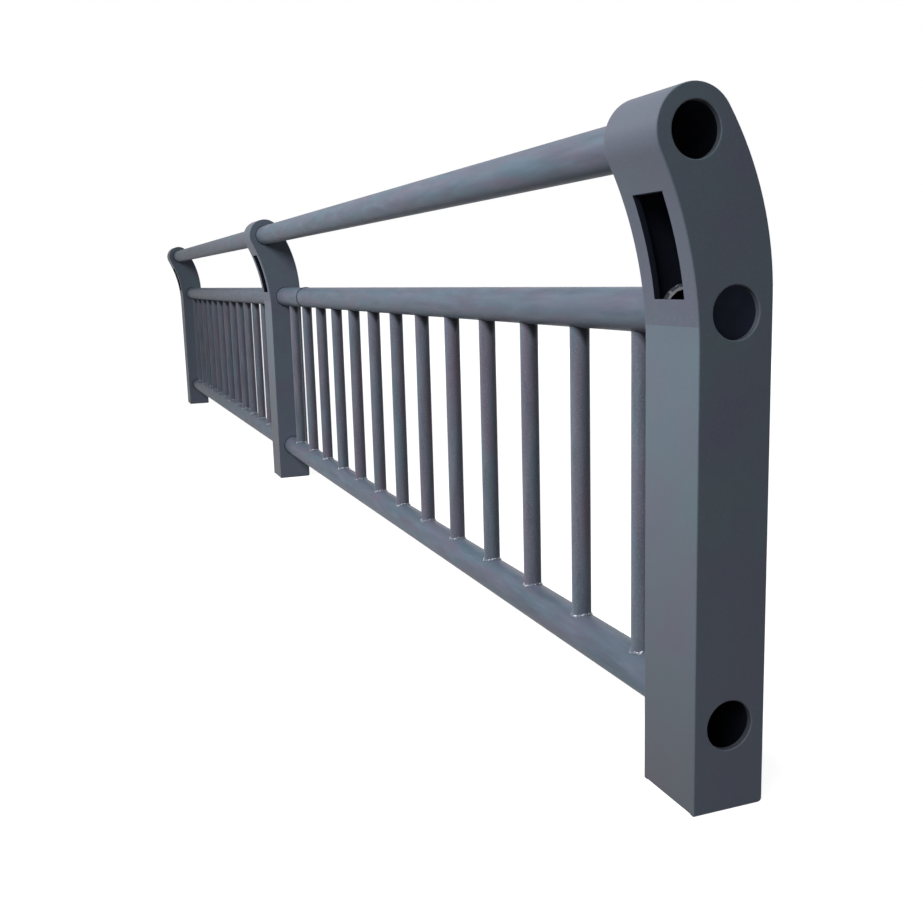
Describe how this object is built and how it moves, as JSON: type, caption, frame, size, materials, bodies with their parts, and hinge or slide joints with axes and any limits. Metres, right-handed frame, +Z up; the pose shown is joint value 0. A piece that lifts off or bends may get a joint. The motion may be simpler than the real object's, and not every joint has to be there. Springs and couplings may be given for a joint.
{
  "type": "bridge guardrail",
  "caption": "Steel bridge guardrail: hollow posts that bend forward to a round head, round top, mid and bottom rails, and upright balusters.",
  "frame": {"origin": "centre of the middle post's foot, on the face that stands on the deck", "axes": "+X along the rails, -Y the side that the posts lean to, +Z up"},
  "size_m": [6.55, 0.2, 1.1],
  "materials": {
    "post_paint": "satin slate grey paint",
    "rail_paint": "satin slate grey paint",
    "baluster_paint": "satin slate grey paint"
  },
  "bodies": {
    "root": {"left_post_left_side": "post_paint", "left_post_right_side": "post_paint", "left_post_front_plate": "post_paint", "left_post_slotted_plate": "post_paint", "left_post_head_cap": "post_paint", "left_post_back_plate": "post_paint", "left_post_foot_plate": "post_paint", "middle_post_left_side": "post_paint", "middle_post_right_side": "post_paint", "middle_post_front_plate": "post_paint", "middle_post_slotted_plate": "post_paint", "middle_post_head_cap": "post_paint", "middle_post_back_plate": "post_paint", "middle_post_foot_plate": "post_paint", "right_post_left_side": "post_paint", "right_post_right_side": "post_paint", "right_post_front_plate": "post_paint", "right_post_slotted_plate": "post_paint", "right_post_head_cap": "post_paint", "right_post_back_plate": "post_paint", "right_post_foot_plate": "post_paint", "left_bay_top_rail": "rail_paint", "left_bay_mid_rail": "rail_paint", "left_bay_bottom_rail": "rail_paint", "left_bay_balusters": "baluster_paint", "right_bay_top_rail": "rail_paint", "right_bay_mid_rail": "rail_paint", "right_bay_bottom_rail": "rail_paint", "right_bay_balusters": "baluster_paint"}
  },
  "joints": []
}
